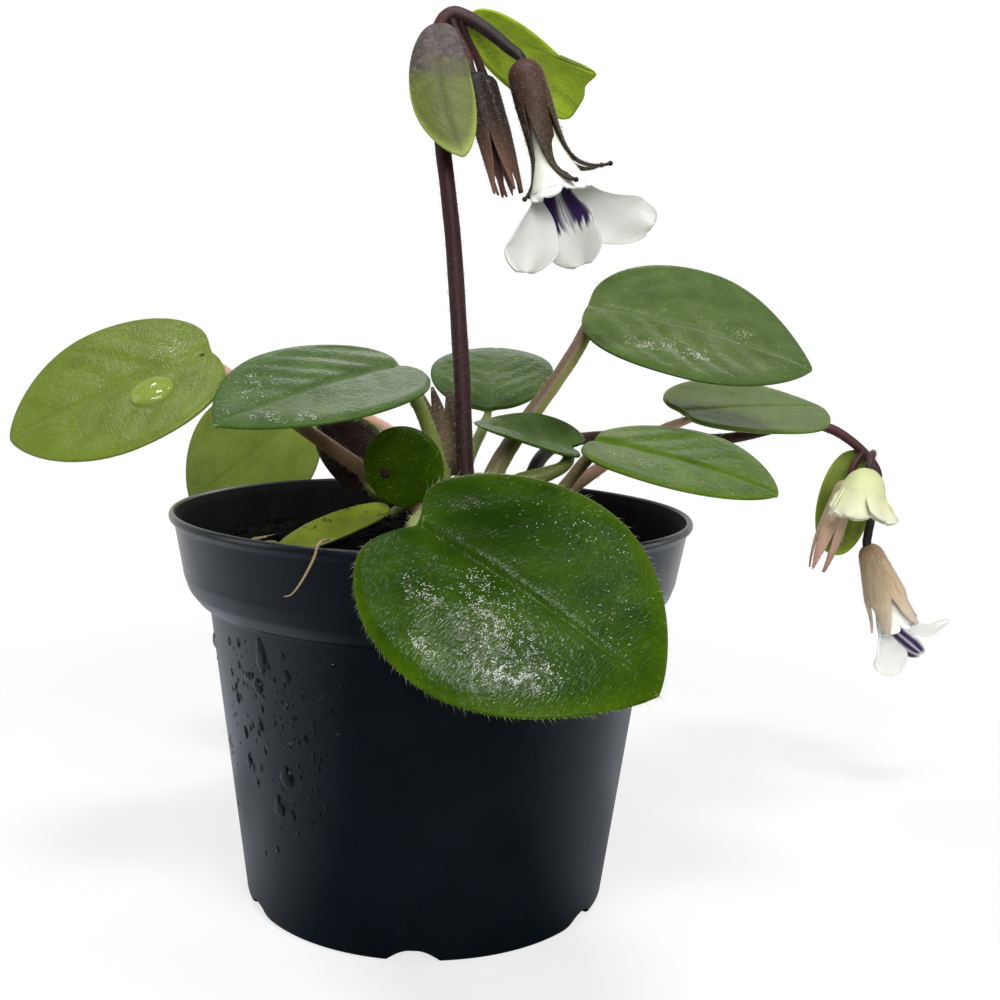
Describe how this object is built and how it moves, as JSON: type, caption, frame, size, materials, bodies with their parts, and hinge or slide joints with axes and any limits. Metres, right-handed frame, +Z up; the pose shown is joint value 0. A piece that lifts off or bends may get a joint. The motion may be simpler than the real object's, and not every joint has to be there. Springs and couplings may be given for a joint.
{
  "type": "potted chirita",
  "caption": "Flowering house plant with round hairy leaves and nodding white flowers with purple stripes, growing in a tapered black plastic nursery pot of peat.",
  "frame": {"origin": "centre of the pot's flat underside, on the floor", "axes": "+Z up along the pot's axis; -Y is the side the picture was taken from; +X is its right, where the second flower stalk nods"},
  "size_m": [0.2034, 0.1433, 0.1721],
  "materials": {
    "pot_plastic": "satin blue-black moulded plastic",
    "peat": "moist dark crumbly peat",
    "leaf_green": "glossy fleshy leaf with fine hairs",
    "leaf_pale": "light yellow-green leaf, satin",
    "leaf_young": "yellow-green young leaf, satin",
    "leaf_brown": "brown-purple hairy underside",
    "petiole_green": "hairy green stalk, satin",
    "petiole_pink": "hairy pinkish-brown stalk, satin",
    "scape_maroon": "dark maroon hairy stalk, satin",
    "calyx_maroon": "dark red-brown hairy sepal",
    "calyx_beige": "beige-brown sepal, matt",
    "calyx_pink": "pinkish-brown sepal, matt",
    "bract_green": "yellow-green bract, satin",
    "petal_white": "white petal with purple stripes, soft matt",
    "petal_cream": "pale yellow petal, soft matt",
    "root_tan": "dry root, matt"
  },
  "bodies": {
    "root": {"pot": "pot_plastic", "soil": "peat", "crown": "petiole_green", "bud_cluster": "leaf_brown", "root_fibre": "root_tan", "scape_main": "scape_maroon", "scape_low": "scape_maroon", "calyx_open": "calyx_maroon", "calyx_first": "calyx_maroon", "calyx_second": "calyx_maroon", "calyx_low": "calyx_beige", "calyx_bud": "calyx_pink", "corolla_open": "petal_white", "corolla_low": "petal_white", "corolla_cream": "petal_cream", "bract_left": "bract_green", "bract_right": "bract_green", "bract_second": "bract_green", "leaf_front": "leaf_green", "leaf_left": "leaf_green", "leaf_back": "leaf_green", "leaf_curled": "leaf_green", "leaf_right": "leaf_green", "leaf_top_right": "leaf_green", "leaf_young_round": "leaf_green", "leaf_far_left": "leaf_pale", "leaf_back_left": "leaf_pale", "leaf_back_right": "leaf_pale", "leaf_young_narrow": "leaf_young", "leaf_young_brown": "leaf_brown", "petiole_front": "petiole_green", "petiole_left": "petiole_green", "petiole_back": "petiole_green", "petiole_curled": "petiole_green", "petiole_top_right": "petiole_green", "petiole_young_round": "petiole_green", "petiole_young_narrow": "petiole_green", "petiole_young_brown": "petiole_green", "petiole_far_left": "petiole_pink", "petiole_back_left": "petiole_pink", "petiole_right": "petiole_pink", "petiole_back_right": "petiole_pink"}
  },
  "joints": []
}
